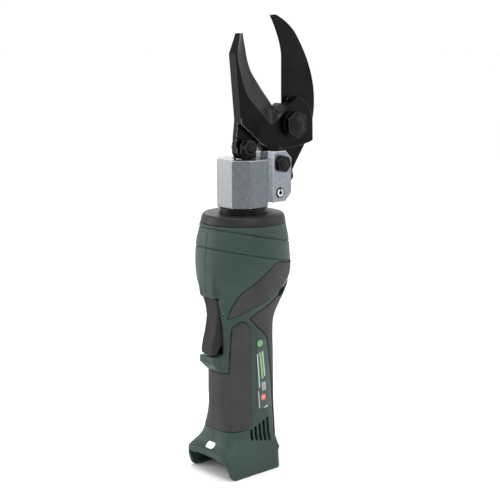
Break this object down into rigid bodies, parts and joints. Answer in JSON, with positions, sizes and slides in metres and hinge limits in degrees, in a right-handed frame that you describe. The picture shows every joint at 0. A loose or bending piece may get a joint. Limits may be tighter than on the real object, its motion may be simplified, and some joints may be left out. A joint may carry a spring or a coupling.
{
  "type": "rescue cutter",
  "caption": "Hand-held battery-hydraulic cutter with an in-line body on a battery foot, a swivelling octagonal head and open scissor jaws driven by a piston rod.",
  "frame": {"origin": "on the tool's main axis, in the lower face of the battery terminal block, where the battery's socket seats", "axes": "+Z along the main axis from the foot towards the jaws, -Y the front with the trigger and the open end of the battery bay, +X the right side"},
  "size_m": [0.0756, 0.1178, 0.3632],
  "materials": {
    "green_shell": "dark green moulded plastic, fine grain, satin",
    "soft_panel": "charcoal soft overmould, fine texture",
    "dark_collar": "dark charcoal plastic",
    "label": "printed film with plain marks, no lettering",
    "lens": "milky white light window",
    "trigger_plastic": "dark grey plastic, worn smooth",
    "black_plastic": "black plastic",
    "block_aluminium": "machined and bead-blasted, light tool marks",
    "bright_steel": "turned bright steel",
    "rod_steel": "ground and hard-chromed",
    "black_steel": "black-oxide fasteners",
    "jaw_steel": "black-oxide forged steel with ground bevels",
    "spring_steel": "drawn spring wire",
    "seal_rubber": "black seal rubber",
    "copper": "copper",
    "board": "green circuit board with black parts"
  },
  "bodies": {
    "body": {"housing_right": "green_shell", "housing_left": "green_shell", "shoulder_panel_right": "soft_panel", "shoulder_panel_left": "soft_panel", "backstrap_right": "soft_panel", "backstrap_left": "soft_panel", "grip_panel_right": "soft_panel", "grip_panel_left": "soft_panel", "collar_ring": "dark_collar", "label_plate": "label", "indicator_lens": "lens", "screw_pump_right": "black_steel", "screw_pump_left": "black_steel", "screw_collar": "black_steel", "screw_grip": "black_steel", "screw_foot": "black_steel", "terminal_block": "black_plastic", "contact_right": "copper", "contact_left": "copper", "control_board": "board", "switch_body": "black_plastic", "trigger_spring": "spring_steel", "trigger_pin": "bright_steel", "motor_can": "bright_steel", "motor_stator": "copper", "gearbox_case": "block_aluminium", "output_bearing": "bright_steel", "pump_block": "block_aluminium", "pump_plunger": "bright_steel", "plunger_spring": "spring_steel", "plunger_plug": "bright_steel", "relief_valve": "bright_steel", "oil_bladder": "seal_rubber", "retaining_ring": "bright_steel"},
    "head": {"head_block": "block_aluminium", "swivel_ring": "bright_steel", "clevis_bolt": "black_steel", "clevis_nut": "black_steel", "clevis_pin": "bright_steel", "fixed_jaw": "jaw_steel", "pivot_bolt": "black_steel", "pivot_nut": "black_steel", "pivot_washer": "black_steel", "rod_wiper": "seal_rubber", "return_spring": "spring_steel"},
    "ram": {"ram_rod": "rod_steel", "piston": "bright_steel", "piston_seal": "seal_rubber", "drive_bolt": "black_steel", "drive_nut": "black_steel"},
    "jaw": {"moving_jaw": "jaw_steel"},
    "trigger_lever": {"trigger": "trigger_plastic"},
    "button": {"switch_button": "black_plastic"},
    "rotor": {"motor_rotor": "bright_steel", "cooling_fan": "black_plastic"},
    "carrier": {"planet_carrier": "bright_steel"},
    "planet_1": {"planet_gear_1": "bright_steel"},
    "planet_2": {"planet_gear_2": "bright_steel"},
    "planet_3": {"planet_gear_3": "bright_steel"}
  },
  "joints": [
    {"name": "head_swivel", "type": "hinge", "parent": "body", "child": "head", "pos_m": [0, 0, 0.2], "axis": [0, 0, 1], "range_deg": [-175, 175]},
    {"name": "jaw_close", "type": "hinge", "parent": "head", "child": "jaw", "pos_m": [0, 0.045, 0.269], "axis": [-1, 0, 0], "range_deg": [0, 36]},
    {"name": "ram_stroke", "type": "slide", "parent": "head", "child": "ram", "axis": [0, 0, 1], "range_m": [0, 0.0313], "deforming": ["return_spring"]},
    {"name": "trigger_pull", "type": "hinge", "parent": "body", "child": "trigger_lever", "pos_m": [0, -0.028, 0.125], "axis": [1, 0, 0], "range_deg": [0, 8], "stiffness_Nm_per_rad": 0.12, "springref_deg": -8.59},
    {"name": "button_press", "type": "slide", "parent": "body", "child": "button", "axis": [0, 1, 0], "range_m": [0, 0.0027]},
    {"name": "rotor_spin", "type": "hinge", "parent": "body", "child": "rotor", "pos_m": [0, 0, 0.07], "axis": [0, 0, 1], "continuous": true},
    {"name": "carrier_spin", "type": "hinge", "parent": "body", "child": "carrier", "pos_m": [0, 0, 0.105], "axis": [0, 0, 1], "continuous": true},
    {"name": "planet_1_spin", "type": "hinge", "parent": "carrier", "child": "planet_1", "pos_m": [0, 0.0066, 0.099], "axis": [0, 0, 1], "continuous": true},
    {"name": "planet_2_spin", "type": "hinge", "parent": "carrier", "child": "planet_2", "pos_m": [-0.00572, -0.0033, 0.099], "axis": [0, 0, 1], "continuous": true},
    {"name": "planet_3_spin", "type": "hinge", "parent": "carrier", "child": "planet_3", "pos_m": [0.00572, -0.0033, 0.099], "axis": [0, 0, 1], "continuous": true}
  ],
  "couplings": [
    {"joint": "ram_stroke", "follows": "jaw_close", "m_per_rad": 0.04966},
    {"joint": "button_press", "follows": "trigger_pull", "m_per_rad": 0.019},
    {"joint": "carrier_spin", "follows": "rotor_spin", "ratio": 0.25},
    {"joint": "planet_1_spin", "follows": "rotor_spin", "ratio": -0.75},
    {"joint": "planet_2_spin", "follows": "rotor_spin", "ratio": -0.75},
    {"joint": "planet_3_spin", "follows": "rotor_spin", "ratio": -0.75}
  ]
}
